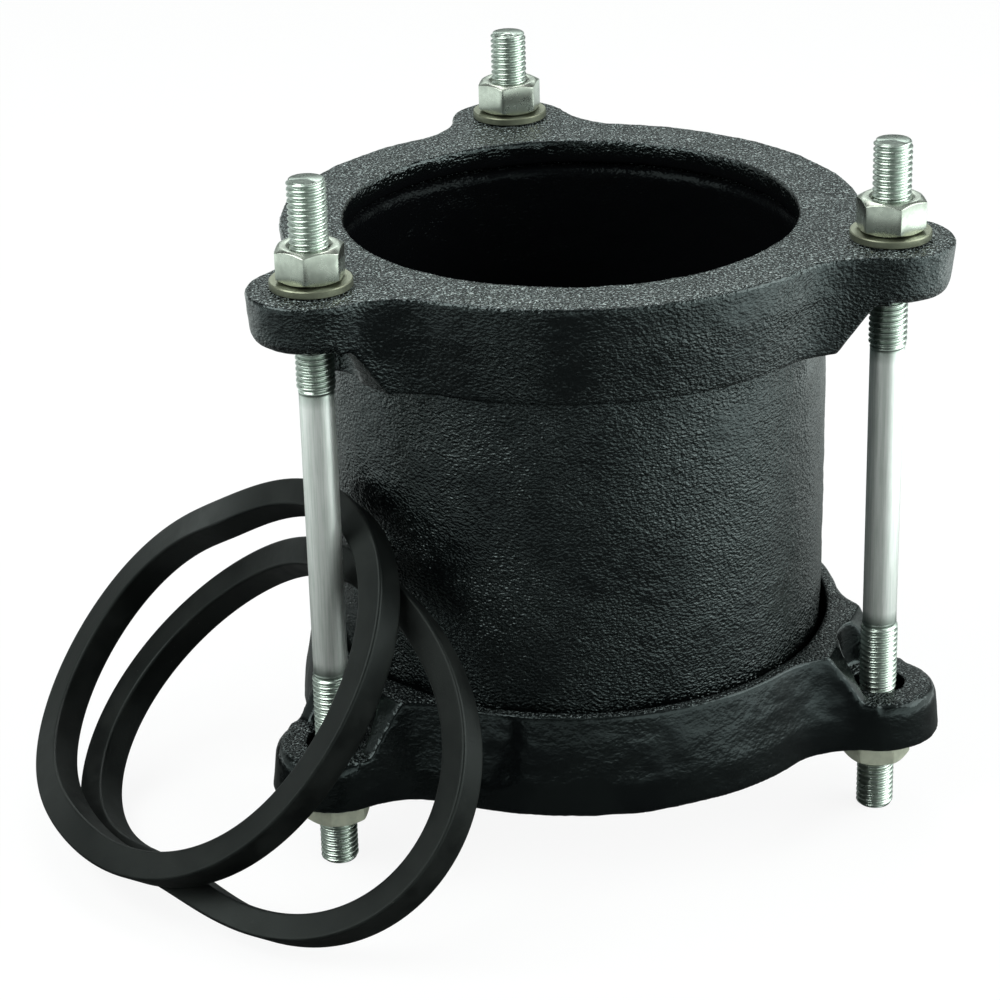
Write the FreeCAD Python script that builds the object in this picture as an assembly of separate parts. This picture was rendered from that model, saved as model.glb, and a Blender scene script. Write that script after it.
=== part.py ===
import FreeCAD, Part
import math
import os

os.makedirs("parts", exist_ok=True)

V = FreeCAD.Vector
Z_AXIS = V(0, 0, 1)

# Pipe coupling with two three-lug glands, a loose middle sleeve, three studs and two rubber rings.
# Millimetres. The pipe axis is +Z, the origin lies on it half way between the two glands.

# Middle sleeve, a plain tube that the pipe ends slide into, chamfered inside for the rubber rings
SLEEVE_END_R = 66.5
SLEEVE_BARREL = 0.8
SLEEVE_WALL = 7.5
SLEEVE_END_GAP = 0.3
SEAT_FLARE = 2.2
SEAT_DEPTH = 2.2
SLEEVE_EDGE = 0.8

# Gland casting, drawn with its outer face at z = 0 and its cup opening downwards
FACE_DISTANCE = 139.0
GLAND_OPENING_R = SLEEVE_END_R - SLEEVE_WALL
CUP_INNER_R = SLEEVE_END_R + 1.3
CUP_MOUTH_R = CUP_INNER_R + 0.4
MOUTH_CHAMFER = 0.8
LIP_R = CUP_MOUTH_R + 3.8
RIM_R = SLEEVE_END_R + 9.8
RIM_DEPTH = 9.0
RIM_DRAFT = 0.9
LUG_R = 16.8
FLANK_R = 21.0
LUG_THICKNESS = 13.4
LUG_LOWER_ROUND = 2.6
GLAND_HEIGHT = 27.0
LIP_LUG_R = 13.8
LIP_FLANK_R = 23.5
LIP_ROUND = 1.0
FACE_ROUND = 0.9
GLAND_PLATE = 7.0
CUP_CORNER_R = 1.5
OPENING_ROUND = 1.0
CUT_OVERSHOOT = 1.0

# Bolting
BOLT_CIRCLE_R = SLEEVE_END_R + 18.5
LUG_ANGLES = {"rear": 90.0, "left": 210.0, "right": 330.0}
STUD_HOLE_R = 6.8
WRENCH_POCKET_R = 11.0
WEB_TOP_REACH = BOLT_CIRCLE_R
WEB_LIP_REACH = BOLT_CIRCLE_R - 9.5
THREAD_R = 5.0
SHANK_R = 4.5
STUD_LENGTH = 188.0
STUD_THREAD_LENGTH = 55.5
STUD_END_CHAMFER = 0.7
# how far each stud stands above the outer face of the upper gland
STUD_RISE = {"rear": 24.4, "left": 27.4, "right": 25.4}

# Hexagon nuts and washers
NUT_ACROSS_FLATS = 16.0
NUT_HEIGHT = 8.8
NUT_FACE_R = 7.3
NUT_CHAMFER_SLOPE = 0.52
NUT_COUNTERSINK = 0.7
NUT_RUN = 0.05
UPPER_NUT_TURN = {"rear": 7.0, "left": 12.8, "right": 28.5}
LOWER_NUT_TURN = {"rear": 20.0, "left": 11.7, "right": 45.5}
WASHER_R = 10.4
WASHER_HOLE_R = 5.5
WASHER_THICKNESS = 2.0
WASHER_EDGE = 0.25

# Rubber rings, slack and out of round, hung over the left stud
RING_OUTER_R = 60.9
RING_WALL = 8.2
RING_WIDTH = 8.6
RING_TAPER = 1.1
RING_POINTS = 32
# each ring's centre from the left stud's axis, the lean of its own axis from +Z and the heading of
# that lean, its waves in the plane (two and three to a turn, as shares) and out of it (millimetres)
RING_POSES = {
    "seal_ring_upper": ((-31.12, 15.86, -42.67), 49.98, 199.52,
                        (0.0697, 0.0867, 0.0621, 0.0263), (-5.22, -0.50, -0.85, -0.76)),
    "seal_ring_lower": ((-16.00, 1.59, -53.55), 49.22, 205.08,
                        (0.1767, 0.0362, -0.0039, 0.0300), (-7.62, 1.53, 0.10, 0.53)),
}

HALF_FACE = FACE_DISTANCE / 2.0


def polar(radius, degrees, z=0.0):
    """Point at a radius and an angle about the pipe axis."""
    a = math.radians(degrees)
    return V(radius * math.cos(a), radius * math.sin(a), z)


def spun(profile):
    """Solid turned about Z from a closed list of (radius, z) points."""
    points = [V(r, 0, z) for r, z in profile]
    face = Part.Face(Part.makePolygon(points + points[:1]))
    return face.revolve(V(0, 0, 0), Z_AXIS, 360)


def flange_outline(rim_r, lug_r, flank_r, z):
    """Closed outline: rim circle, three lug ends and the hollow flanks between them."""
    reach_rim = rim_r + flank_r
    reach_lug = lug_r + flank_r
    cx = (reach_rim ** 2 - reach_lug ** 2 + BOLT_CIRCLE_R ** 2) / (2 * BOLT_CIRCLE_R)
    cy = math.sqrt(reach_rim ** 2 - cx ** 2)
    flank = math.degrees(math.atan2(cy, cx))
    edges = []
    angles = sorted(LUG_ANGLES.values())
    for i, lug in enumerate(angles):
        following = angles[(i + 1) % len(angles)] + (360 if i + 1 == len(angles) else 0)
        lug_centre = polar(BOLT_CIRCLE_R, lug, z)
        before = polar(reach_rim, lug - flank, z)
        after = polar(reach_rim, lug + flank, z)
        rim_in = polar(rim_r, lug - flank, z)
        rim_out = polar(rim_r, lug + flank, z)
        lug_in = lug_centre + (before - lug_centre).normalize() * lug_r
        lug_out = lug_centre + (after - lug_centre).normalize() * lug_r
        tip = polar(BOLT_CIRCLE_R + lug_r, lug, z)
        middle_in = before + ((rim_in + lug_in) * 0.5 - before).normalize() * flank_r
        middle_out = after + ((rim_out + lug_out) * 0.5 - after).normalize() * flank_r
        next_rim = polar(rim_r, following - flank, z)
        rim_middle = polar(rim_r, (lug + following) / 2.0, z)
        edges.append(Part.Arc(rim_in, middle_in, lug_in).toShape())
        edges.append(Part.Arc(lug_in, tip, lug_out).toShape())
        edges.append(Part.Arc(lug_out, middle_out, rim_out).toShape())
        edges.append(Part.Arc(rim_out, rim_middle, next_rim).toShape())
    return Part.Wire(edges)


def flat_edges(shape, z):
    """Edges of a shape lying wholly at one height."""
    found = []
    for edge in shape.Edges:
        box = edge.BoundBox
        if abs(box.ZMin - z) < 1e-4 and abs(box.ZMax - z) < 1e-4:
            found.append(edge)
    return found


def gland_body():
    """Outer form of the casting: drafted flange above, skirt narrowing to the lip below."""
    face = flange_outline(RIM_R, LUG_R, FLANK_R, 0)
    waist = flange_outline(RIM_R - RIM_DRAFT, LUG_R - RIM_DRAFT, FLANK_R + RIM_DRAFT, -RIM_DEPTH)
    lip = flange_outline(LIP_R, LIP_LUG_R, LIP_FLANK_R, -GLAND_HEIGHT)
    flange = Part.makeLoft([face, waist], True, True)
    flange = flange.makeFillet(FACE_ROUND, flat_edges(flange, 0))
    skirt = Part.makeLoft([waist, lip], True, True)
    skirt = skirt.makeFillet(LIP_ROUND, flat_edges(skirt, -GLAND_HEIGHT))
    return flange.fuse(skirt)


def web_cutter():
    """Takes the skirt away outside each web, leaving its sloping outer side."""
    below = -GLAND_HEIGHT - CUT_OVERSHOOT
    slope = (WEB_TOP_REACH - WEB_LIP_REACH) / (GLAND_HEIGHT - LUG_THICKNESS)
    low_reach = WEB_LIP_REACH - slope * CUT_OVERSHOOT
    outside = BOLT_CIRCLE_R + 2 * LUG_R
    side = 1.5 * LUG_R
    profile = [V(WEB_TOP_REACH, -side, -LUG_THICKNESS), V(low_reach, -side, below),
               V(outside, -side, below), V(outside, -side, -LUG_THICKNESS)]
    return Part.Face(Part.makePolygon(profile + profile[:1])).extrude(V(0, 2 * side, 0))


def lug_rounding():
    """Rolls the lower edge of a lug end."""
    rho = LUG_LOWER_ROUND
    waist_r = LUG_R - RIM_DRAFT
    share = (LUG_THICKNESS - RIM_DEPTH) / (GLAND_HEIGHT - RIM_DEPTH)
    edge_r = waist_r - share * (waist_r - LIP_LUG_R)
    low = -LUG_THICKNESS
    a = V(edge_r - rho, 0, low)
    b = V(edge_r - rho + rho * math.sin(math.pi / 4), 0, low + rho - rho * math.cos(math.pi / 4))
    c = V(edge_r, 0, low + rho)
    d = V(edge_r + rho, 0, low + rho)
    e = V(edge_r + rho, 0, low - rho)
    f = V(edge_r - rho, 0, low - rho)
    edges = [Part.Arc(a, b, c).toShape()]
    edges += [Part.makeLine(p, q) for p, q in ((c, d), (d, e), (e, f), (f, a))]
    face = Part.Face(Part.Wire(edges))
    face.rotate(V(0, 0, 0), Z_AXIS, -75)
    tool = face.revolve(V(0, 0, 0), Z_AXIS, 150)
    tool.translate(V(BOLT_CIRCLE_R, 0, 0))
    return tool


def gland_cavity():
    """Pipe opening in the plate and the cup that takes the ring and the sleeve end."""
    rho = OPENING_ROUND
    corner = CUP_CORNER_R
    points = [(0, rho), (GLAND_OPENING_R + rho, rho), (GLAND_OPENING_R + rho, 0)]
    for step in range(1, 5):
        a = math.radians(90 + 90 * step / 4.0)
        points.append((GLAND_OPENING_R + rho + rho * math.cos(a), -rho + rho * math.sin(a)))
    points.append((GLAND_OPENING_R, -GLAND_PLATE))
    points.append((CUP_INNER_R - corner, -GLAND_PLATE))
    for step in range(1, 5):
        a = math.radians(90 - 90 * step / 4.0)
        points.append((CUP_INNER_R - corner + corner * math.cos(a),
                       -GLAND_PLATE - corner + corner * math.sin(a)))
    points.append((CUP_MOUTH_R, -GLAND_HEIGHT + MOUTH_CHAMFER))
    points.append((CUP_MOUTH_R + 2 * MOUTH_CHAMFER, -GLAND_HEIGHT - MOUTH_CHAMFER))
    points.append((0, -GLAND_HEIGHT - MOUTH_CHAMFER))
    return spun(points)


def gland():
    """One gland casting with its outer face at z = 0."""
    body = gland_body()
    cuts = [gland_cavity()]
    for lug in LUG_ANGLES.values():
        axis_foot = polar(BOLT_CIRCLE_R, lug)
        web = web_cutter()
        web.rotate(V(0, 0, 0), Z_AXIS, lug)
        rounding = lug_rounding()
        rounding.rotate(V(0, 0, 0), Z_AXIS, lug)
        pocket = Part.makeCylinder(WRENCH_POCKET_R, GLAND_HEIGHT, axis_foot + V(0, 0, -LUG_THICKNESS), -Z_AXIS)
        hole = Part.makeCylinder(STUD_HOLE_R, LUG_THICKNESS + 2 * CUT_OVERSHOOT,
                                 axis_foot + V(0, 0, CUT_OVERSHOOT), -Z_AXIS)
        cuts += [web, rounding, pocket, hole]
    for cut in cuts:
        body = body.cut(cut)
    return body.removeSplitter()


def upper_gland():
    shape = gland()
    shape.translate(V(0, 0, HALF_FACE))
    return shape


def lower_gland():
    """The same casting turned over about the axis through the rear lug."""
    shape = gland()
    shape.rotate(V(0, 0, 0), V(0, 1, 0), 180)
    shape.translate(V(0, 0, -HALF_FACE))
    return shape


def sleeve():
    """Slightly barrelled cast sleeve with a chamfered ring seat in each end."""
    half = HALF_FACE - GLAND_PLATE - SLEEVE_END_GAP
    bore = GLAND_OPENING_R
    outer = Part.Arc(V(SLEEVE_END_R, 0, -half + SLEEVE_EDGE), V(SLEEVE_END_R + SLEEVE_BARREL, 0, 0),
                     V(SLEEVE_END_R, 0, half - SLEEVE_EDGE)).toShape()
    chain = [V(SLEEVE_END_R, 0, half - SLEEVE_EDGE), V(SLEEVE_END_R - SLEEVE_EDGE, 0, half),
             V(bore + SEAT_FLARE, 0, half), V(bore, 0, half - SEAT_DEPTH),
             V(bore, 0, -half + SEAT_DEPTH), V(bore + SEAT_FLARE, 0, -half),
             V(SLEEVE_END_R - SLEEVE_EDGE, 0, -half), V(SLEEVE_END_R, 0, -half + SLEEVE_EDGE)]
    edges = [outer] + [Part.makeLine(a, b) for a, b in zip(chain, chain[1:])]
    return Part.Face(Part.Wire(edges)).revolve(V(0, 0, 0), Z_AXIS, 360)


def stud(place):
    """Double-ended stud: a plain shank between two threaded ends."""
    top = HALF_FACE + STUD_RISE[place]
    bottom = top - STUD_LENGTH
    c = STUD_END_CHAMFER
    run_out = THREAD_R - SHANK_R
    thread_low = bottom + STUD_THREAD_LENGTH
    thread_high = top - STUD_THREAD_LENGTH
    shape = spun([(0, bottom), (THREAD_R - c, bottom), (THREAD_R, bottom + c),
                  (THREAD_R, thread_low), (SHANK_R, thread_low + run_out),
                  (SHANK_R, thread_high - run_out), (THREAD_R, thread_high),
                  (THREAD_R, top - c), (THREAD_R - c, top), (0, top)])
    shape.translate(polar(BOLT_CIRCLE_R, LUG_ANGLES[place]))
    return shape


def nut(place, bottom, turn):
    """Hexagon nut with chamfered corners at both faces and a countersunk plain bore."""
    corner_r = NUT_ACROSS_FLATS / math.sqrt(3)
    corners = [polar(corner_r, turn + 60 * k) for k in range(6)]
    block = Part.Face(Part.makePolygon(corners + corners[:1])).extrude(V(0, 0, NUT_HEIGHT))
    reach = 1.1 * corner_r
    rise = (reach - NUT_FACE_R) * NUT_CHAMFER_SLOPE
    skin = spun([(0, 0), (NUT_FACE_R, 0), (reach, rise), (reach, NUT_HEIGHT - rise),
                 (NUT_FACE_R, NUT_HEIGHT), (0, NUT_HEIGHT)])
    bore_r = THREAD_R + NUT_RUN
    sink = NUT_COUNTERSINK
    bore = spun([(0, -sink), (bore_r + sink, -sink), (bore_r + sink, 0), (bore_r, sink),
                 (bore_r, NUT_HEIGHT - sink), (bore_r + sink, NUT_HEIGHT),
                 (bore_r + sink, NUT_HEIGHT + sink), (0, NUT_HEIGHT + sink)])
    shape = block.common(skin).cut(bore)
    shape.translate(polar(BOLT_CIRCLE_R, LUG_ANGLES[place], bottom))
    return shape


def washer(place):
    """Flat washer on the outer face of the upper gland."""
    e = WASHER_EDGE
    t = WASHER_THICKNESS
    shape = spun([(WASHER_HOLE_R, 0), (WASHER_R - e, 0), (WASHER_R, e), (WASHER_R, t - e),
                  (WASHER_R - e, t), (WASHER_HOLE_R, t)])
    shape.translate(polar(BOLT_CIRCLE_R, LUG_ANGLES[place], HALF_FACE))
    return shape


def ring_edge(sways, lifts, inset, z):
    """One closed edge of a slack ring, drawn in from its outer radius and waved out of its plane."""
    points = []
    for k in range(RING_POINTS):
        t = 2 * math.pi * k / RING_POINTS
        waves = (math.cos(2 * t), math.sin(2 * t), math.cos(3 * t), math.sin(3 * t))
        r = RING_OUTER_R * (1 + sum(a * w for a, w in zip(sways, waves))) - inset
        lift = sum(a * w for a, w in zip(lifts, waves))
        points.append(V(r * math.cos(t), r * math.sin(t), z + lift))
    curve = Part.BSplineCurve()
    curve.interpolate(Points=points, PeriodicFlag=True)
    return curve.toShape()


def seal_ring(name):
    """Rubber ring of tapered section, skinned between its four edges and leaned over the left stud."""
    offset, lean, heading, sways, lifts = RING_POSES[name]
    half = RING_WIDTH / 2.0
    corners = [(0, half), (RING_WALL, half), (RING_WALL, -half), (RING_TAPER, -half)]
    edges = [ring_edge(sways, lifts, inset, z) for inset, z in corners]
    faces = [Part.makeRuledSurface(edge, following) for edge, following in zip(edges, edges[1:] + edges[:1])]
    skin = Part.makeShell(faces)
    skin.sewShape()
    shape = Part.makeSolid(skin)
    if shape.Volume < 0:
        shape.reverse()
    a, b = math.radians(lean), math.radians(heading)
    normal = V(math.sin(a) * math.cos(b), math.sin(a) * math.sin(b), math.cos(a))
    across = normal.cross(Z_AXIS).normalize()
    along = normal.cross(across)
    centre = polar(BOLT_CIRCLE_R, LUG_ANGLES["left"]) + V(*offset)
    shape.Placement = FreeCAD.Placement(centre, FreeCAD.Rotation(across, along, normal, "ZXY"))
    return shape


def export(shape, name):
    if len(shape.Solids) == 1:
        shape = shape.Solids[0]
    shape.exportStep(os.path.join("parts", name + ".step"))


export(upper_gland(), "top_gland")
export(lower_gland(), "bottom_gland")
export(sleeve(), "sleeve")
for where in LUG_ANGLES:
    export(stud(where), "stud_" + where)
    export(washer(where), "washer_" + where)
    export(nut(where, HALF_FACE + WASHER_THICKNESS, UPPER_NUT_TURN[where]), "top_nut_" + where)
    export(nut(where, -HALF_FACE - NUT_HEIGHT, LOWER_NUT_TURN[where]), "bottom_nut_" + where)
for ring_name in RING_POSES:
    export(seal_ring(ring_name), ring_name)
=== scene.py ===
import math

import bmesh
import bpy
from mathutils import Matrix, Vector


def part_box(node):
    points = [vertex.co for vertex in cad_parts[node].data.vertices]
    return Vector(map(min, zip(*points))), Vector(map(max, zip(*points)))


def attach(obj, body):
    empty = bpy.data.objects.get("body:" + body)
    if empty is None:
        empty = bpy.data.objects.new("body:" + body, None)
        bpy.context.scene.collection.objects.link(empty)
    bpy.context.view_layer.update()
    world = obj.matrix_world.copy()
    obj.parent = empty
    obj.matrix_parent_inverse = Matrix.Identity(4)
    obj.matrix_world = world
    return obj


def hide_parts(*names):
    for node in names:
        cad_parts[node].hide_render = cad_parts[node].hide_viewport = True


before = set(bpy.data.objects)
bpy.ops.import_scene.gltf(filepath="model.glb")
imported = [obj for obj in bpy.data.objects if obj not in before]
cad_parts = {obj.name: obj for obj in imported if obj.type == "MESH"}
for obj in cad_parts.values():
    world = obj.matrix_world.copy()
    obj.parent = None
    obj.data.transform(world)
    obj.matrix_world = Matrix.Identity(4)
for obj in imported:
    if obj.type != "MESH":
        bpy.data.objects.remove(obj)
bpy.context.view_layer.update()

# The view of the joint
# A long lens looks down on the upper gland from the front left. The picture is
# square, and the joint's middle sits a little off its centre.
MM = 0.001
world_scene = bpy.context.scene
world_scene.view_settings.view_transform = "Standard"


def add_to_scene(name, data):
    """Puts a lens, a lamp or a mesh into the scene."""
    added = bpy.data.objects.new(name, data)
    world_scene.collection.objects.link(added)
    return added


look_point = Vector((0.0, 0.0, -13.60)) * MM
view_heading = math.radians(-11.48)
view_rise = math.radians(23.931)
view_distance = 837.83 * MM
turn_left = math.radians(1.390)
tip_right = math.radians(0.861)
focal_length = 110.988
picture_width = 36.0
nearest_seen = 0.05

towards_lens = Vector((math.sin(view_heading) * math.cos(view_rise),
                       -math.cos(view_heading) * math.cos(view_rise),
                       math.sin(view_rise)))
forward = -towards_lens
right = forward.cross(Vector((0, 0, 1))).normalized()
above = right.cross(forward)
left_turn = Matrix.Rotation(turn_left, 3, above)
forward, right = left_turn @ forward, left_turn @ right
roll = Matrix.Rotation(tip_right, 3, forward)
right, above = roll @ right, roll @ above

lens = bpy.data.cameras.new("lens")
lens.lens = focal_length
lens.sensor_width = picture_width
lens.clip_start = nearest_seen
camera = add_to_scene("camera", lens)
axes = Matrix((right, above, -forward)).transposed()
lens_point = look_point + towards_lens * view_distance
camera.matrix_world = Matrix.Translation(lens_point) @ axes.to_4x4()
world_scene.camera = camera


# The table top under the joint
# A plain white sheet as seen straight on. In the gloss of the joint it shows painted reflections:
# a painted pool of light at the front right, lighter painted bands behind, far off and to
# the left, and painted shade near and under the joint. The joint stands on the lower ends
# of its three studs, which stick out unequally, so the sheet lies through those three ends.
class Wire:
    """The end of a node's wire: arithmetic on it adds maths nodes."""

    def __init__(self, graph, socket):
        self.graph = graph
        self.socket = socket

    def maths(self, operation, *others):
        return self.graph.node("ShaderNodeMath", {"operation": operation},
                               dict(enumerate((self,) + others)))

    def __add__(self, other):
        return self.maths("ADD", other)

    def __radd__(self, other):
        return self.maths("ADD", other)

    def __sub__(self, other):
        return self.maths("SUBTRACT", other)

    def __rsub__(self, other):
        return (self * -1.0) + other

    def __mul__(self, other):
        return self.maths("MULTIPLY", other)

    def __rmul__(self, other):
        return self.maths("MULTIPLY", other)

    def __truediv__(self, other):
        return self.maths("DIVIDE", other)

    def __rtruediv__(self, other):
        return self.graph.node("ShaderNodeMath", {"operation": "DIVIDE"}, {0: other, 1: self})

    def least(self, other):
        return self.maths("MINIMUM", other)

    def most(self, other):
        return self.maths("MAXIMUM", other)

    def between(self, low, high):
        return self.most(low).least(high)

    def smooth(self, low, high):
        """0 below low, 1 above high and an eased rise between them."""
        return self.graph.node("ShaderNodeMapRange", {"interpolation_type": "SMOOTHSTEP"},
                               {"Value": self, "From Min": low, "From Max": high})

    def output(self, name):
        return Wire(self.graph, self.socket.node.outputs[name])


class Graph:
    """A node tree that is written as calls."""

    def __init__(self, tree):
        self.tree = tree
        tree.nodes.clear()

    def node(self, kind, settings=None, sockets=None):
        """Adds a node: its settings first, then a value, a wire or wires for each socket."""
        made = self.tree.nodes.new(kind)
        for name, value in (settings or {}).items():
            setattr(made, name, value)
        for name, value in (sockets or {}).items():
            for wire in value if isinstance(value, list) else [value]:
                if isinstance(wire, Wire):
                    self.tree.links.new(wire.socket, made.inputs[name])
                else:
                    made.inputs[name].default_value = wire
        outputs = [socket for socket in made.outputs if socket.enabled]
        return Wire(self, outputs[0]) if outputs else None


def new_finish(name):
    """An empty material and its graph."""
    finish = bpy.data.materials.new(name)
    finish.use_nodes = True
    return finish, Graph(finish.node_tree)


def tinted(g, tint, level):
    """A colour tint as bright as a level."""
    return g.node("ShaderNodeVectorMath", {"operation": "SCALE"}, {0: tint, "Scale": level})


stud_places = {"rear": "stud_rear", "left": "stud_left", "right": "stud_right"}
stud_axes = {}
stud_feet = {}
for place, node in stud_places.items():
    low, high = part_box(node)
    stud_axes[place] = Vector(((low.x + high.x) / 2, (low.y + high.y) / 2, 0))
    stud_feet[place] = stud_axes[place] + Vector((0, 0, low.z))

sheet_side = stud_feet["right"] - stud_feet["left"]
sheet_depth = stud_feet["rear"] - stud_feet["left"]
sheet_normal = sheet_side.cross(sheet_depth).normalized()


def sheet_height(x, y):
    """Height of the white sheet at a place."""
    foot = stud_feet["left"]
    away = Vector((x, y, 0)) - foot
    return foot.z - (away.x * sheet_normal.x + away.y * sheet_normal.y) / sheet_normal.z


sheet_reach = 3.0
sheet_gap = 0.1 * MM
corners = [(-sheet_reach, -sheet_reach), (sheet_reach, -sheet_reach),
           (sheet_reach, sheet_reach), (-sheet_reach, sheet_reach)]
sheet_mesh = bpy.data.meshes.new("white_sheet")
sheet_mesh.from_pydata([(x, y, sheet_height(x, y) - sheet_gap) for x, y in corners],
                       [], [(0, 1, 2, 3)])
white_sheet = add_to_scene("white_sheet", sheet_mesh)

paper_white = (0.85, 0.86, 0.86, 1)
full_white = (1.0, 1.0, 1.0, 1.0)
painted_reflection_tint = (0.90, 1.0, 0.97)
painted_pool_place = (0.68, -0.24, 0)
painted_reflection_base = 0.02
painted_reflection_share = 0.94
seen_share = 0.90

sheet_finish, g = new_finish("white_sheet")
light_path = g.node("ShaderNodeLightPath")
spot = g.node("ShaderNodeTexCoord").output("Object")
on_sheet = g.node("ShaderNodeVectorMath", {"operation": "MULTIPLY"}, {0: spot, 1: (1, 1, 0)})
parts = g.node("ShaderNodeSeparateXYZ", sockets={0: spot})
backwards, leftwards = parts.output("Y"), parts.output("X") * -1.0
from_joint = g.node("ShaderNodeVectorMath", {"operation": "LENGTH"},
                    {0: on_sheet}).output("Value")
from_painted_pool = g.node("ShaderNodeVectorMath", {"operation": "DISTANCE"},
                     {0: on_sheet, 1: painted_pool_place}).output("Value")
# Painted reflection: the light and shade that glossy rays see on the sheet are painted into its
# glow.
painted_back_light = backwards.smooth(-0.15, 0.12) * 0.50
painted_light_pool = (1.0 - from_painted_pool.smooth(0.25, 0.68)) * 2.9
painted_far_light = from_joint.smooth(0.30, 1.10) * 0.65
painted_left_light = leftwards.smooth(0.16, 0.55) * 0.65
painted_shade_under = from_joint.smooth(0.070, 0.095)
painted_shade_near = from_joint.smooth(0.12, 0.44) * 0.80 + 0.20
painted_reflection_level = painted_back_light + painted_light_pool + painted_far_light + painted_left_light + painted_reflection_base
painted_reflection_level = painted_reflection_level * painted_shade_under * painted_shade_near
paper = g.node("ShaderNodeBsdfDiffuse", sockets={"Color": paper_white})
painted_reflection = g.node("ShaderNodeEmission", sockets={"Color": tinted(g, painted_reflection_tint, painted_reflection_level),
                                             "Strength": 1.0})
bright = g.node("ShaderNodeEmission", sockets={"Color": full_white, "Strength": 1.0})
reflected = g.node("ShaderNodeMixShader", sockets={
    0: light_path.output("Is Glossy Ray") * painted_reflection_share, 1: paper, 2: painted_reflection})
shade = g.node("ShaderNodeMixShader", sockets={
    0: light_path.output("Is Camera Ray") * seen_share, 1: reflected, 2: bright})
g.node("ShaderNodeOutputMaterial", sockets={"Surface": shade})
sheet_mesh.materials.append(sheet_finish)


# The light
# A dim studio that the gloss paint mirrors: a pale band of wall behind the joint, a
# light wall on the right, a weaker one on the left and a faint ceiling and horizon.
# Soft boxes stand to the left and the right, and a panel hangs over the back.
def along(g, direction, heading):
    """How far a direction points towards a heading."""
    return g.node("ShaderNodeVectorMath", {"operation": "DOT_PRODUCT"},
                  {0: direction, 1: heading}).output("Value")


def soft_lamp(name, place, size, power, colour):
    """A square soft lamp at a place, aimed at the joint."""
    lamp = bpy.data.lights.new(name, "AREA")
    lamp.size = size
    lamp.energy = power
    lamp.color = colour
    holder = add_to_scene(name, lamp)
    holder.location = place
    holder.rotation_euler = (-Vector(place)).to_track_quat("-Z", "Y").to_euler()


wall_heading = (0.20, 0.98, 0.0)
right_heading = (0.87, -0.50, 0.0)
room_tint = (0.90, 1.0, 0.96)
wall_level, right_level, left_level, ceiling_level, dark_level = 3.4, 1.8, 0.45, 0.45, 0.05

room = bpy.data.worlds.new("room")
room.use_nodes = True
world_scene.world = room
g = Graph(room.node_tree)
light_path = g.node("ShaderNodeLightPath")
direction = g.node("ShaderNodeTexCoord").output("Generated")
height = g.node("ShaderNodeSeparateXYZ", sockets={0: direction}).output("Z")
behind = along(g, direction, wall_heading)
beside = along(g, direction, right_heading)
back_wall = behind.smooth(0.66, 0.90) * height.smooth(0.31, 0.43)
back_wall = back_wall * (1.0 - height.smooth(0.49, 0.60))
horizon = (behind * -1.0).smooth(-0.2, 0.5) * 0.22 + 0.20
horizon = horizon * (1.0 - height.smooth(0.12, 0.42))
right_wall = beside.smooth(0.30, 0.80) * (1.0 - height.smooth(0.45, 0.75))
left_wall = (beside * -1.0).smooth(0.45, 0.90) * (1.0 - height.smooth(0.35, 0.60))
ceiling = height.smooth(0.78, 0.95)
level = back_wall * wall_level + horizon + right_wall * right_level + left_wall * left_level
level = level + ceiling * ceiling_level + dark_level
room_light = g.node("ShaderNodeBackground", sockets={"Color": tinted(g, room_tint, level),
                                                     "Strength": 1.0})
backdrop = g.node("ShaderNodeBackground", sockets={"Color": full_white, "Strength": 1.0})
sky = g.node("ShaderNodeMixShader", sockets={
    0: light_path.output("Is Camera Ray"), 1: room_light, 2: backdrop})
g.node("ShaderNodeOutputWorld", sockets={"Surface": sky})

box_tint, panel_tint = (0.95, 1.0, 0.97), (1.0, 1.0, 1.0)
soft_lamp("left_box", (-0.75, -0.22, 0.78), size=0.85, power=11.0, colour=box_tint)
soft_lamp("right_box", (0.88, -0.25, 0.62), size=0.85, power=9.0, colour=box_tint)
soft_lamp("overhead_panel", (0.05, 0.60, 1.10), size=0.7, power=6.0, colour=panel_tint)


# The two glands
# Each is one sand casting in iron, a ring with three bolt lugs and a cup for the
# sleeve's end. The lower one is the same casting turned over. Both are dipped in
# black enamel, which pools into a wet gloss over the grain of the sand.
def merged_copy(node, name):
    """A copy of a solid's surface as one closed skin."""
    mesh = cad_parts[node].data.copy()
    mesh.name = name
    mesh.materials.clear()
    skin = bmesh.new()
    skin.from_mesh(mesh)
    bmesh.ops.remove_doubles(skin, verts=skin.verts, dist=0.002 * MM)
    skin.to_mesh(mesh)
    skin.free()
    return add_to_scene(name, mesh)


def finished(piece, finish):
    """Turns a piece with live modifiers into a plain smooth mesh with its finish."""
    seen = piece.evaluated_get(bpy.context.evaluated_depsgraph_get())
    mesh = bpy.data.meshes.new_from_object(seen)
    old = piece.data
    piece.modifiers.clear()
    piece.data = mesh
    bpy.data.meshes.remove(old)
    mesh.name = piece.name
    mesh.materials.clear()
    mesh.materials.append(finish)
    mesh.polygons.foreach_set("use_smooth", [True] * len(mesh.polygons))
    mesh.polygons.foreach_set("material_index", [0] * len(mesh.polygons))


def new_tree(name, inputs):
    """A geometry tree with its graph and its named inputs."""
    tree = bpy.data.node_groups.new(name, "GeometryNodeTree")
    tree.interface.new_socket("Geometry", in_out="OUTPUT", socket_type="NodeSocketGeometry")
    for label, kind, value in inputs:
        socket = tree.interface.new_socket(label, in_out="INPUT", socket_type=kind)
        if value is not None:
            socket.default_value = value
    g = Graph(tree)
    return tree, g, g.node("NodeGroupInput")


def close_tree(g, skin, finish):
    """Ends a geometry tree with one plain skin in its finish."""
    whole = g.node("GeometryNodeRealizeInstances", sockets={"Geometry": skin})
    dressed = g.node("GeometryNodeSetMaterial", sockets={"Geometry": whole, "Material": finish})
    g.node("NodeGroupOutput", sockets={"Geometry": dressed})


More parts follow.
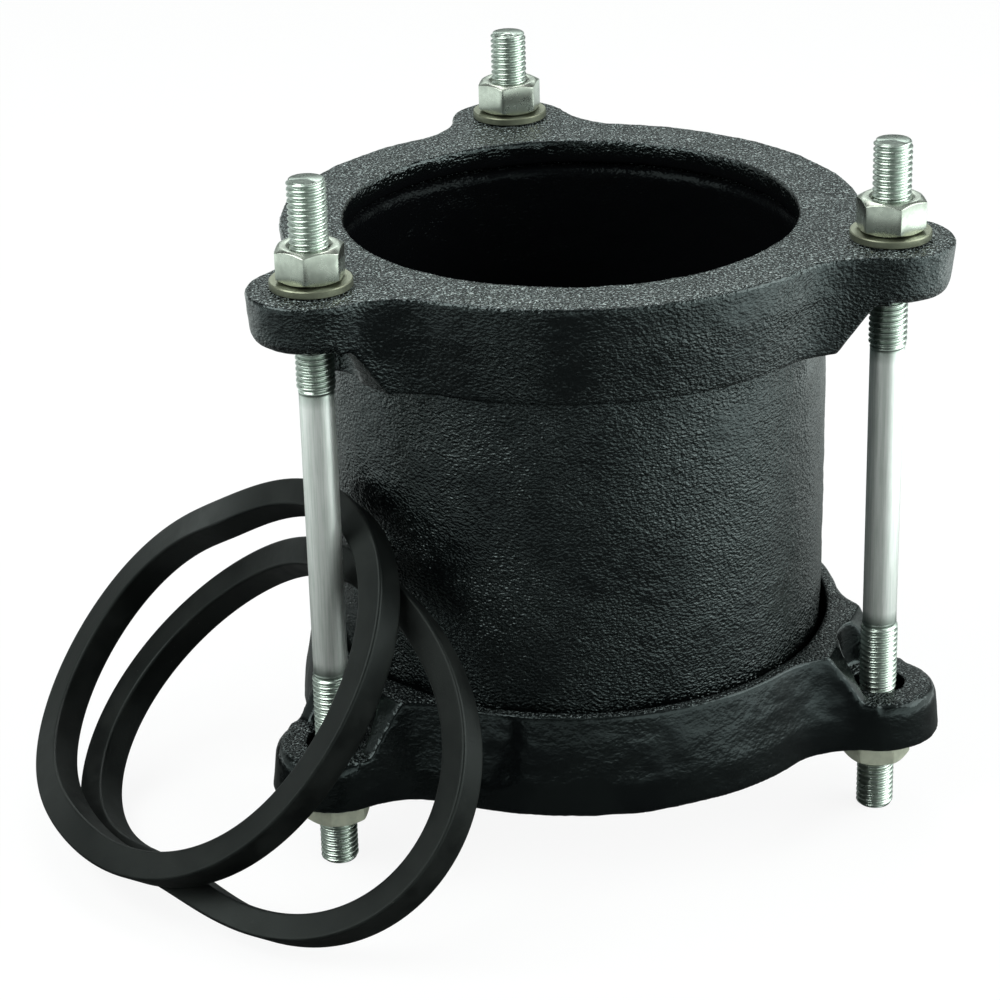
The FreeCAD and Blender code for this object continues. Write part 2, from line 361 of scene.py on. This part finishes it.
def set_tree(piece, tree, values):
    """Hangs a geometry tree on a piece and sets its named inputs."""
    modifier = piece.modifiers.new(tree.name, "NODES")
    modifier.node_group = tree
    for item in tree.interface.items_tree:
        if item.item_type == "SOCKET" and item.in_out == "INPUT" and item.name in values:
            modifier[item.identifier] = values[item.name]


def sand_skin_tree():
    """Sinks a casting's skin a little by the grain and sag of its sand mould."""
    tree, g, given = new_tree("sand_skin", (
        ("Geometry", "NodeSocketGeometry", None),
        ("Sag size", "NodeSocketFloat", 12.0),
        ("Sag depth", "NodeSocketFloat", 0.25 * MM),
        ("Grain size", "NodeSocketFloat", 2.6),
        ("Grain depth", "NodeSocketFloat", 0.10 * MM),
        ("Finish", "NodeSocketMaterial", None)))
    place = g.node("GeometryNodeInputPosition")
    facing = g.node("GeometryNodeInputNormal")

    def hollows(size, detail):
        """Hollows and rises of about a size, from 0 to 1."""
        return g.node("ShaderNodeTexNoise", sockets={
            "Vector": place, "Scale": 1.0 / (size * MM),
            "Detail": detail}).output("Fac").smooth(0.3, 0.7)

    sag = hollows(given.output("Sag size"), 2.0) * given.output("Sag depth")
    grain = hollows(given.output("Grain size"), 1.0) * given.output("Grain depth")
    sunk = g.node("ShaderNodeVectorMath", {"operation": "SCALE"},
                  {0: facing, "Scale": (sag + grain) * -1.0})
    skin = g.node("GeometryNodeSetPosition", sockets={
        "Geometry": given.output("Geometry"), "Offset": sunk})
    close_tree(g, skin, given.output("Finish"))
    return tree


sand_skin = sand_skin_tree()


def sand_casting(node, cell, rounds, enamel, skin_sizes):
    """A solid's shape as a sand casting: soft edges, sand skin and enamel."""
    casting = merged_copy(node, node + "_casting")
    pour = casting.modifiers.new("pour", "REMESH")
    pour.mode = "VOXEL"
    pour.voxel_size = cell
    soften = casting.modifiers.new("soften", "SMOOTH")
    soften.factor = 0.5
    soften.iterations = rounds
    set_tree(casting, sand_skin, {"Finish": enamel, **skin_sizes})
    finished(casting, enamel)
    return casting


def millimetres(g):
    """Place on the piece in millimetres."""
    place = g.node("ShaderNodeTexCoord").output("Object")
    return g.node("ShaderNodeVectorMath", {"operation": "SCALE"}, {0: place, "Scale": 1.0 / MM})


def speckle(g, place, size, detail=2.0, roughness=0.5):
    """Noise whose blobs are about a size, in millimetres."""
    return g.node("ShaderNodeTexNoise", sockets={
        "Vector": place, "Scale": 1.0 / size, "Detail": detail,
        "Roughness": roughness}).output("Fac")


def blend_colours(g, share, first, second):
    """Blend of two colours by a share."""
    return g.node("ShaderNodeMix", {"data_type": "RGBA"}, {0: share, 6: first, 7: second})


def bumped(g, height, depth, below=None):
    """Bump of a height field, in metres of depth."""
    sockets = {"Height": height, "Distance": depth, "Strength": 1.0}
    if below is not None:
        sockets["Normal"] = below
    return g.node("ShaderNodeBump", sockets=sockets)


def black_enamel(name, peel_size, peel_depth, broad_depth, gloss,
                 calm_rim=0.0, sparkle_and_painted_glints=1.0, shine=0.5):
    """Wet black enamel: orange peel on the sides, fine specks on upward faces, and painted glints
    as grey dots in the colour of the upward faces.
    Down in the opening, where little light gets, the peel and specks are calmer and painted
    shade, a dull near-black, covers most of the gloss."""
    deep_black, thin_black = (0.0018, 0.0022, 0.0024, 1), (0.0030, 0.0037, 0.0037, 1)
    painted_glint_grey, painted_shade_black = (0.27, 0.31, 0.31, 1), (0.0020, 0.0022, 0.0026, 1)
    glint_tint = (0.84, 0.99, 1.0, 1)
    speck_size, painted_glint_size, broad_size, patch_size = 0.75, 0.62, 7.0, 24.0
    speck_depth = 0.60 * MM
    painted_shade_share = 0.92
    finish, g = new_finish(name)
    place = millimetres(g)
    parts = g.node("ShaderNodeSeparateXYZ", sockets={0: place})
    across, deep, tall = parts.output("X"), parts.output("Y"), parts.output("Z")
    facing = g.node("ShaderNodeNewGeometry").output("Normal")
    upward = g.node("ShaderNodeSeparateXYZ", sockets={0: facing}).output("Z").smooth(0.80, 0.97)
    rim = tall.smooth(59.0, 61.5) * calm_rim
    from_axis = (across * across + deep * deep).maths("SQRT")
    below_mouth = 1.0 - tall.maths("ABSOLUTE").smooth(64.0, 67.0)
    inside = (1.0 - from_axis.smooth(61.5, 63.0)) * below_mouth
    slanted = g.node("ShaderNodeMapping", sockets={
        "Vector": place, "Rotation": (0.5, 0.5, 0.0), "Scale": (1.0, 1.0, 1.5)})
    peel = speckle(g, slanted, peel_size, 1.0)
    specks = speckle(g, place, speck_size, 0.0).smooth(0.30, 0.80)
    # Painted glints: grey dots in the colour of upward faces, where the light from above falls.
    painted_glint_dots = speckle(g, place, painted_glint_size, 1.0).smooth(0.52, 0.70) * upward * sparkle_and_painted_glints
    broad = speckle(g, place, broad_size)
    patches = speckle(g, place, patch_size).smooth(0.36, 0.60)
    rolling = bumped(g, broad, broad_depth)
    strength = (0.40 + 0.60 * patches) * (1.0 - 0.8 * upward)
    strength = strength * (1.0 - rim) * (1.0 - 0.6 * inside)
    lumpy = bumped(g, peel * strength, peel_depth, rolling)
    speck_share = sparkle_and_painted_glints * 0.6 + 0.4
    skin = bumped(g, specks * upward * (1.0 - inside) * speck_share, speck_depth, lumpy)
    colour = blend_colours(g, patches, deep_black, thin_black)
    colour = blend_colours(g, painted_glint_dots, colour, painted_glint_grey)
    rough = gloss + peel * 0.06 + upward * 0.02
    wet = g.node("ShaderNodeBsdfPrincipled", sockets={
        "Base Color": colour, "Roughness": rough, "Normal": skin, "IOR": 1.5,
        "Specular IOR Level": shine, "Specular Tint": glint_tint})
    # Painted shade: inside the opening a dull near-black is mixed over the gloss.
    painted_shade = g.node("ShaderNodeBsdfDiffuse", sockets={"Color": painted_shade_black})
    shader = g.node("ShaderNodeMixShader", sockets={0: inside * painted_shade_share, 1: wet, 2: painted_shade})
    g.node("ShaderNodeOutputMaterial", sockets={"Surface": shader})
    return finish


gland_cell = 0.78 * MM
gland_enamels = {
    "top_gland": black_enamel(
        "upper_gland_enamel", peel_size=1.00, peel_depth=0.74 * MM, broad_depth=0.5 * MM,
        gloss=0.11, calm_rim=0.4),
    "bottom_gland": black_enamel(
        "lower_gland_enamel", peel_size=1.3, peel_depth=0.10 * MM, broad_depth=0.15 * MM,
        gloss=0.13, sparkle_and_painted_glints=0.3, shine=0.32)}
gland_grains = {"top_gland": 0.08 * MM, "bottom_gland": 0.03 * MM}
for node, body in (("top_gland", "upper_gland"), ("bottom_gland", "lower_gland")):
    casting = sand_casting(node, gland_cell, 3, gland_enamels[node],
                           {"Grain depth": gland_grains[node]})
    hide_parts(node)
    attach(casting, body)

# The sleeve
# A short length of cast iron tube that bridges the two pipe ends, coarser in its
# skin than the glands, chamfered inside both ends for the rings, and enamelled.
sleeve_cell = 1.20 * MM
sleeve_enamel = black_enamel(
    "sleeve_enamel", peel_size=0.95, peel_depth=0.70 * MM, broad_depth=0.5 * MM, gloss=0.11)
sleeve_casting = sand_casting("sleeve", sleeve_cell, 2, sleeve_enamel, {"Sag depth": 0.35 * MM})
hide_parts("sleeve")
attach(sleeve_casting, "studs_and_sleeve")


# The studs
# Steel rod with a thread rolled on each end, which leaves the plain shank between
# them thinner than the crests, plated in bright zinc with drawing lines along it.
def zinc_plate(name, tint, rough, lines=0.0, painted_valley_shade_and_streaks=0.0, metal=1.0):
    """Bright zinc with faint cloudy stains, and painted valley shade and streaks where asked."""
    painted_valley_shade_colour = (0.07, 0.085, 0.07, 1)
    streak_light, streak_dark = (1.0, 1.0, 0.98, 1), (0.62, 0.68, 0.62, 1)
    cloud_size, grain_size, line_size = 3.2, 0.35, 0.5
    plate_depth = 0.03 * MM
    finish, g = new_finish(name)
    place = millimetres(g)
    cloud = speckle(g, place, cloud_size, 3.0, 0.6)
    fine = speckle(g, place, grain_size, 2.0, 0.6)
    stretched = g.node("ShaderNodeMapping", sockets={"Vector": place, "Scale": (1.0, 1.0, 0.035)})
    drawn = speckle(g, stretched, line_size, 2.0, 0.6)
    dull = tuple(c * 0.55 for c in tint)
    base = blend_colours(g, cloud.smooth(0.35, 0.75) * 0.55, tint + (1,), dull + (1,))
    dulled = rough + cloud * 0.16
    if painted_valley_shade_and_streaks:
        # Painted shade: the thread valleys are darkened in the colour, where shade falls between
        # the crests.
        root = g.node("ShaderNodeAttribute", {"attribute_name": "crest"}).output("Fac")
        base = blend_colours(g, (1.0 - root) * painted_valley_shade_and_streaks, base, painted_valley_shade_colour)
        shank = g.node("ShaderNodeAttribute", {"attribute_name": "drawn"}).output("Fac")
        streaked = blend_colours(g, drawn.smooth(0.35, 0.70) * 0.5, streak_light, streak_dark)
        base = blend_colours(g, shank * 0.85, base, streaked)
        dulled = dulled + shank * 0.09
        metal = shank * -0.14 + metal
    skin = bumped(g, fine * 0.25 + drawn * lines, plate_depth)
    shader = g.node("ShaderNodeBsdfPrincipled", sockets={
        "Base Color": base, "Metallic": metal, "Roughness": dulled, "Normal": skin})
    g.node("ShaderNodeOutputMaterial", sockets={"Surface": shader})
    return finish


def stud_tree():
    """A stud as a swept skin: both threads, the shank and the end faces."""
    columns = 40
    rows_a_turn = 6
    thread_rows = 40 * rows_a_turn + 1
    shank_rows = 25
    crest_width = 1.5
    chamfer_slope = 1.1
    fade_turns = 1.6
    weld_gap = 0.003 * MM
    tree, g, given = new_tree("double_ended_stud", (
        ("Place", "NodeSocketVector", (0, 0, 0)),
        ("Foot", "NodeSocketFloat", -95.0 * MM),
        ("Head", "NodeSocketFloat", 95.0 * MM),
        ("Thread length", "NodeSocketFloat", 55.5 * MM),
        ("Crest radius", "NodeSocketFloat", 4.95 * MM),
        ("Root radius", "NodeSocketFloat", 4.08 * MM),
        ("Shank radius", "NodeSocketFloat", 4.5 * MM),
        ("Pitch", "NodeSocketFloat", 1.5 * MM),
        ("End radius", "NodeSocketFloat", 4.30 * MM),
        ("Finish", "NodeSocketMaterial", None)))
    pitch = given.output("Pitch")
    crest = given.output("Crest radius")
    root = given.output("Root radius")
    shank = given.output("Shank radius")
    end = given.output("End radius")

    def marked(mesh, name, value):
        """Stores a named value on the points of a skin."""
        return g.node("GeometryNodeStoreNamedAttribute",
                      {"data_type": "FLOAT", "domain": "POINT"},
                      {"Geometry": mesh, "Name": name, "Value": value})

    def placed(mesh, radius, z, around):
        """Wraps a flat grid onto a round skin."""
        angle = around * (2 * math.pi)
        spot = g.node("ShaderNodeCombineXYZ", sockets={
            0: angle.maths("COSINE") * radius, 1: angle.maths("SINE") * radius, 2: z})
        return g.node("GeometryNodeSetPosition", sockets={"Geometry": mesh, "Position": spot})

    def grid(x_count, y_count):
        """A flat grid, with its fraction across and its row number."""
        mesh = g.node("GeometryNodeMeshGrid", sockets={
            "Size X": 1.0, "Size Y": 1.0, "Vertices X": x_count, "Vertices Y": y_count})
        place = g.node("GeometryNodeInputPosition")
        parts = g.node("ShaderNodeSeparateXYZ", sockets={0: place})
        around = parts.output("X") + 0.5
        row = ((parts.output("Y") + 0.5) * float(y_count - 1)).maths("ROUND")
        return mesh, around, row

    def thread(free_end, run_out):
        """One threaded end, chamfered at its free end and running out into the shank."""
        mesh, around, row = grid(columns + 1, thread_rows)
        low = free_end.least(run_out)
        high = free_end.most(run_out)
        raw = low + pitch * (row / float(rows_a_turn) - 1.0 + around)
        z = raw.most(low).least(high)
        phase = ((row + 0.5) / float(rows_a_turn)).maths("FRACT")
        wave = ((phase * 2.0 - 1.0).maths("ABSOLUTE") * 2.0 - 1.0) * crest_width
        share = (wave.between(-1.0, 1.0) + 1.0) * 0.5
        ridge = root + (crest - root) * share
        from_end = (z - free_end).maths("ABSOLUTE")
        from_shank = (z - run_out).maths("ABSOLUTE")
        cone = end + from_end * chamfer_slope
        fade = (from_shank / (pitch * fade_turns)).smooth(0.0, 1.0)
        radius = (shank + (ridge - shank) * fade).least(cone)
        return marked(placed(mesh, radius, z, around), "crest", share.most(1.0 - fade))

    def cap(z, up):
        """A flat end face."""
        disc = g.node("GeometryNodeMeshCircle", {"fill_type": "TRIANGLE_FAN"},
                      {"Vertices": columns, "Radius": end})
        if not up:
            disc = g.node("GeometryNodeFlipFaces", sockets={"Mesh": disc})
        lift = g.node("ShaderNodeCombineXYZ", sockets={2: z})
        face = g.node("GeometryNodeSetPosition", sockets={"Geometry": disc, "Offset": lift})
        return marked(face, "crest", 1.0)

    foot = given.output("Foot")
    head = given.output("Head")
    lower_run_out = foot + given.output("Thread length")
    upper_run_out = head - given.output("Thread length")
    shank_mesh, around, row = grid(columns + 1, shank_rows)
    shank_share = row / float(shank_rows - 1)
    shank_z = lower_run_out + (upper_run_out - lower_run_out) * shank_share
    shank_skin = placed(shank_mesh, shank, shank_z, around)
    for name in ("crest", "drawn"):
        shank_skin = marked(shank_skin, name, 1.0)
    joined = g.node("GeometryNodeJoinGeometry", sockets={
        "Geometry": [thread(foot, lower_run_out), shank_skin, thread(head, upper_run_out),
                     cap(foot, False), cap(head, True)]})
    closed = g.node("GeometryNodeMergeByDistance", sockets={
        "Geometry": joined, "Distance": weld_gap})
    stood = g.node("GeometryNodeSetPosition", sockets={
        "Geometry": closed, "Offset": given.output("Place")})
    close_tree(g, stood, given.output("Finish"))
    return tree


stud_zinc = zinc_plate("stud_zinc", (0.52, 0.585, 0.53), 0.21, lines=0.35, painted_valley_shade_and_streaks=0.85)
rolled_stud = stud_tree()
for place, node in stud_places.items():
    low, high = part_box(node)
    stud = add_to_scene(node + "_threaded", bpy.data.meshes.new(node + "_threaded"))
    set_tree(stud, rolled_stud, {"Place": stud_axes[place], "Foot": low.z, "Head": high.z,
                                 "Finish": stud_zinc})
    finished(stud, stud_zinc)
    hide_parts(node)
    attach(stud, "studs_and_sleeve")


# The nuts
# Hexagon steel nuts, chamfered on both faces and countersunk at the bore, plated
# like the studs but duller. The upper ones press on washers, the lower ones on iron.
def closed_skin(name, sections):
    """A piece whose closed sections follow one another round to the first again."""
    shape = bmesh.new()
    rings = [[shape.verts.new(point) for point in section] for section in sections]
    for k, here in enumerate(rings):
        there = rings[(k + 1) % len(rings)]
        for j in range(len(here)):
            following = (j + 1) % len(here)
            shape.faces.new((here[j], there[j], there[following], here[following]))
    bmesh.ops.recalc_face_normals(shape, faces=shape.faces)
    mesh = bpy.data.meshes.new(name)
    shape.to_mesh(mesh)
    shape.free()
    return add_to_scene(name, mesh)


def hexagon_nut(name, axis, bottom, top, turn):
    """A nut as sections from its bore, over its outside and back."""
    columns = 96
    across_flats = 16.0 * MM
    flat = across_flats / 2
    corner = flat / math.cos(math.pi / 6)
    blunted_corner = corner - 0.12 * MM
    face_edge = flat * 0.91
    bevel = 0.54
    bore = 5.04 * MM
    sink = 0.72 * MM
    tall = top - bottom
    sections = []
    for k in range(columns):
        around = 2 * math.pi * k / columns
        off_flat = (around + math.pi / 6) % (math.pi / 3) - math.pi / 6
        side = min(flat / math.cos(off_flat), blunted_corner)
        drop = max(side - face_edge, 0) * bevel
        profile = [(bore, sink), (bore + sink, 0), (face_edge, 0), (side, drop),
                   (side, tall - drop), (face_edge, tall), (bore + sink, tall),
                   (bore, tall - sink)]
        around = around + turn
        sections.append([(axis.x + r * math.cos(around), axis.y + r * math.sin(around),
                          bottom + z) for r, z in profile])
    piece = closed_skin(name, sections)
    ease = piece.modifiers.new("ease", "BEVEL")
    ease.limit_method = "ANGLE"
    ease.angle_limit = math.radians(22)
    ease.width = 0.14 * MM
    ease.segments = 2
    return piece


nut_zinc = zinc_plate("nut_zinc", (0.47, 0.50, 0.44), 0.20)
yellow_zinc = zinc_plate("yellow_zinc", (0.50, 0.51, 0.41), 0.34, metal=0.40)
flat_first = 30
nut_turns = {"top_nut_rear": 7.0, "top_nut_left": 12.8, "top_nut_right": 28.5,
             "bottom_nut_rear": 20.0, "bottom_nut_left": 11.7, "bottom_nut_right": 45.5}
for node, degrees in nut_turns.items():
    low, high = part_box(node)
    place = node.split("_")[-1]
    nut = hexagon_nut(node + "_hexagon", stud_axes[place], low.z, high.z,
                      math.radians(degrees + flat_first))
    finished(nut, nut_zinc if node.startswith("top") else yellow_zinc)
    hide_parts(node)
    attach(nut, ("upper_nut_" if node.startswith("top") else "lower_nut_") + place)

# The washers
# Stamped steel discs under the upper nuts, with a duller yellow-grey plating.
washer_plate = zinc_plate("washer_plate", (0.24, 0.25, 0.185), 0.32)
for place in stud_places:
    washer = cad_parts["washer_" + place]
    washer.data.materials.clear()
    washer.data.materials.append(washer_plate)


# The sealing rings
# Moulded rubber, nearly square in section, slack and pulled out of round by their
# own weight. They lean on each other, on the front left stud and on the table.
def matt_rubber():
    """Matt black rubber with dust and a scuffed bloom."""
    clean_black, bloom_black = (0.0022, 0.0025, 0.0025, 1), (0.0085, 0.0092, 0.0086, 1)
    dust_grey = (0.16, 0.16, 0.15, 1)
    dust_size, bloom_size, pore_size = 0.8, 14.0, 0.3
    pore_depth = 0.05 * MM
    finish, g = new_finish("matt_rubber")
    place = millimetres(g)
    dust = speckle(g, place, dust_size, 3.0, 0.6)
    bloom = speckle(g, place, bloom_size, 3.0, 0.6).smooth(0.35, 0.7)
    pores = speckle(g, place, pore_size, 1.0)
    colour = blend_colours(g, bloom * 0.7, clean_black, bloom_black)
    colour = blend_colours(g, dust.smooth(0.70, 0.78) * 0.35, colour, dust_grey)
    skin = bumped(g, pores * 0.4 + dust * 0.6, pore_depth)
    shader = g.node("ShaderNodeBsdfPrincipled", sockets={
        "Base Color": colour, "Roughness": 0.40 + bloom * 0.14, "Normal": skin, "IOR": 1.5,
        "Specular IOR Level": 0.20, "Specular Tint": (0.9, 1.0, 0.97, 1)})
    g.node("ShaderNodeOutputMaterial", sockets={"Surface": shader})
    return finish


def slack_ring(name, centre, lean, heading, sways, lifts):
    """A moulded ring of tapered section with small round corners, hanging out of round."""
    outer, wall, half, taper = 60.9 * MM, 8.2 * MM, 4.3 * MM, 1.1 * MM
    corner = 0.75 * MM
    corner_steps = 5
    beside_corner = 0.5 * MM
    columns = 256
    section = [Vector((0, half)), Vector((wall, half)), Vector((wall, -half)),
               Vector((taper, -half))]
    profile = []
    for k, point in enumerate(section):
        back = (section[k - 1] - point).normalized()
        ahead = (section[(k + 1) % 4] - point).normalized()
        opening = back.angle(ahead)
        reach = corner / math.tan(opening / 2)
        middle = point + (back + ahead).normalized() * (corner / math.sin(opening / 2))
        first, last = point + back * reach - middle, point + ahead * reach - middle
        profile.append(point + back * (reach + beside_corner))
        for step in range(corner_steps + 1):
            outwards = first.lerp(last, step / corner_steps).normalized()
            profile.append(middle + outwards * corner)
        profile.append(point + ahead * (reach + beside_corner))
    normal = Vector((math.sin(lean) * math.cos(heading), math.sin(lean) * math.sin(heading),
                     math.cos(lean)))
    across = normal.cross(Vector((0, 0, 1))).normalized()
    along_slope = normal.cross(across)
    sections = []
    for k in range(columns):
        t = 2 * math.pi * k / columns
        waves = (math.cos(2 * t), math.sin(2 * t), math.cos(3 * t), math.sin(3 * t))
        radius = outer * (1 + sum(a * w for a, w in zip(sways, waves)))
        lift = sum(a * w for a, w in zip(lifts, waves)) * MM
        outward = across * math.cos(t) + along_slope * math.sin(t)
        sections.append([centre + outward * (radius - p.x) + normal * (p.y + lift)
                         for p in profile])
    return closed_skin(name, sections)


ring_rubber = matt_rubber()
ring_poses = {
    "seal_ring_upper": {
        "from_stud": (-31.12, 15.86, -42.67), "lean": 49.98, "heading": 199.52,
        "sways": (0.0697, 0.0867, 0.0621, 0.0263), "lifts": (-5.22, -0.50, -0.85, -0.76)},
    "seal_ring_lower": {
        "from_stud": (-16.00, 1.59, -53.55), "lean": 49.22, "heading": 205.08,
        "sways": (0.1767, 0.0362, -0.0039, 0.0300), "lifts": (-7.62, 1.53, 0.10, 0.53)}}
for node, pose in ring_poses.items():
    centre = stud_axes["left"] + Vector(pose["from_stud"]) * MM
    ring = slack_ring(node + "_moulded", centre, math.radians(pose["lean"]),
                      math.radians(pose["heading"]), pose["sways"], pose["lifts"])
    finished(ring, ring_rubber)
    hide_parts(node)
    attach(ring, "studs_and_sleeve")
